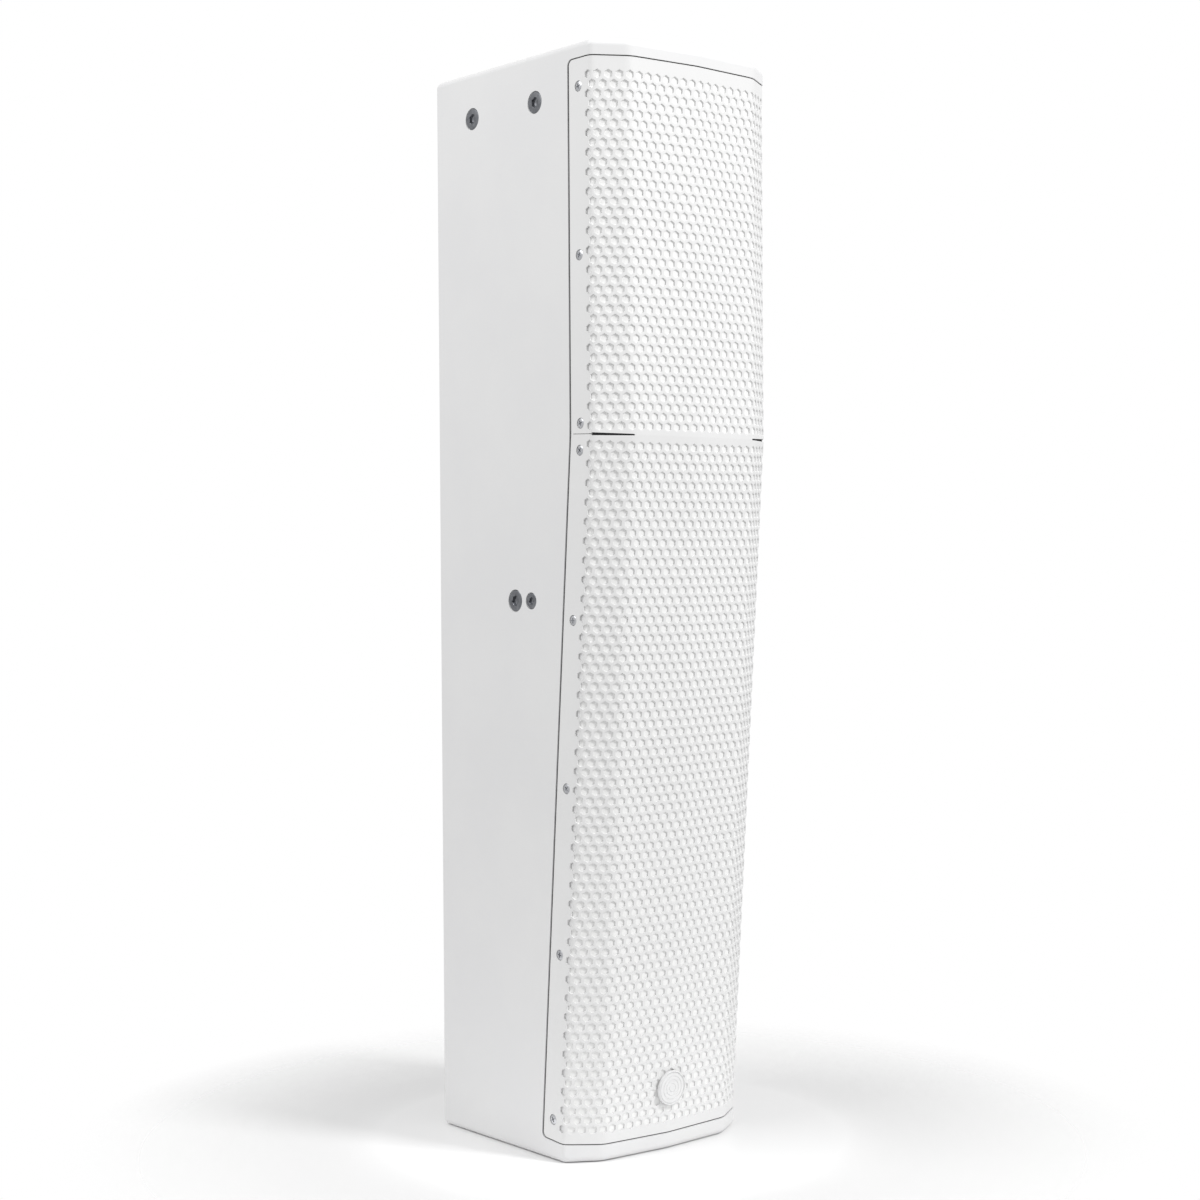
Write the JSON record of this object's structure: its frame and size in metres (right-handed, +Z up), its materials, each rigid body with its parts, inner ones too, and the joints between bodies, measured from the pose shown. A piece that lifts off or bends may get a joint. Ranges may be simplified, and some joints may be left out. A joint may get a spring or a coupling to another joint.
{
  "type": "column pa system",
  "caption": "Slim column loudspeaker: upright upper section over a lower section leaning back, faceted perforated grille, side rigging points.",
  "frame": {"origin": "centre of the base, on the surface that the cabinet stands on", "axes": "+Z up, front faces -Y, +X to the right of someone who looks at the front"},
  "size_m": [0.171, 0.2084, 0.81],
  "materials": {
    "paint": "matt white textured paint on plywood",
    "grille": "white powder coat on perforated steel",
    "foam": "light grey acoustic foam",
    "plywood": "bare birch plywood",
    "dark_steel": "black zinc",
    "steel": "bright zinc plate",
    "basket": "black powder coat",
    "magnet": "dark ferrite and plated steel",
    "paper": "pressed black paper",
    "rubber": "matt",
    "plastic": "black moulded",
    "titanium": "thin bright foil",
    "board": "green circuit board",
    "badge": "white satin"
  },
  "bodies": {
    "root": {"top_panel": "paint", "bottom_panel": "paint", "rear_panel": "paint", "side_panel_left": "paint", "side_panel_right": "paint", "upper_baffle": "plywood", "lower_baffle": "plywood", "centre_brace": "plywood", "rigging_plate_left": "steel", "rigging_plate_right": "steel", "front_grille": "grille", "grille_foam": "foam", "badge": "badge", "rigging_screw_left_upper_rear": "dark_steel", "rigging_screw_left_upper_front": "dark_steel", "rigging_screw_left_middle_m8": "dark_steel", "rigging_screw_left_middle_m6": "dark_steel", "grille_screw_left_1": "steel", "grille_screw_left_2": "steel", "grille_screw_left_3": "steel", "grille_screw_left_4": "steel", "grille_screw_left_5": "steel", "grille_screw_left_6": "steel", "grille_screw_left_7": "steel", "grille_screw_left_8": "steel", "rigging_screw_right_upper_rear": "dark_steel", "rigging_screw_right_upper_front": "dark_steel", "rigging_screw_right_middle_m8": "dark_steel", "rigging_screw_right_middle_m6": "dark_steel", "grille_screw_right_1": "steel", "grille_screw_right_2": "steel", "grille_screw_right_3": "steel", "grille_screw_right_4": "steel", "grille_screw_right_5": "steel", "grille_screw_right_6": "steel", "grille_screw_right_7": "steel", "grille_screw_right_8": "steel", "woofer_1_basket": "basket", "woofer_1_motor": "magnet", "woofer_1_surround": "rubber", "woofer_2_basket": "basket", "woofer_2_motor": "magnet", "woofer_2_surround": "rubber", "woofer_3_basket": "basket", "woofer_3_motor": "magnet", "woofer_3_surround": "rubber", "woofer_4_basket": "basket", "woofer_4_motor": "magnet", "woofer_4_surround": "rubber", "hf_waveguide": "plastic", "hf_driver": "magnet", "terminal_plate": "dark_steel", "socket_1": "plastic", "socket_2": "plastic", "crossover_board": "board"},
    "woofer_1_moving": {"woofer_1_cone": "paper"},
    "woofer_2_moving": {"woofer_2_cone": "paper"},
    "woofer_3_moving": {"woofer_3_cone": "paper"},
    "woofer_4_moving": {"woofer_4_cone": "paper"},
    "hf_moving": {"hf_diaphragm": "titanium"}
  },
  "joints": [
    {"name": "woofer_1_excursion", "type": "slide", "parent": "root", "child": "woofer_1_moving", "axis": [0, -0.9973, -0.0732], "range_m": [-0.004, 0.004], "stiffness_N_per_m": 1200, "deforming": ["woofer_1_surround"]},
    {"name": "woofer_2_excursion", "type": "slide", "parent": "root", "child": "woofer_2_moving", "axis": [0, -0.9973, -0.0732], "range_m": [-0.004, 0.004], "stiffness_N_per_m": 1200, "deforming": ["woofer_2_surround"]},
    {"name": "woofer_3_excursion", "type": "slide", "parent": "root", "child": "woofer_3_moving", "axis": [0, -0.9973, -0.0732], "range_m": [-0.004, 0.004], "stiffness_N_per_m": 1200, "deforming": ["woofer_3_surround"]},
    {"name": "woofer_4_excursion", "type": "slide", "parent": "root", "child": "woofer_4_moving", "axis": [0, -0.9973, -0.0732], "range_m": [-0.004, 0.004], "stiffness_N_per_m": 1200, "deforming": ["woofer_4_surround"]},
    {"name": "hf_excursion", "type": "slide", "parent": "root", "child": "hf_moving", "axis": [0, -1, 0], "range_m": [-0.0003, 0.0003], "stiffness_N_per_m": 20000}
  ]
}
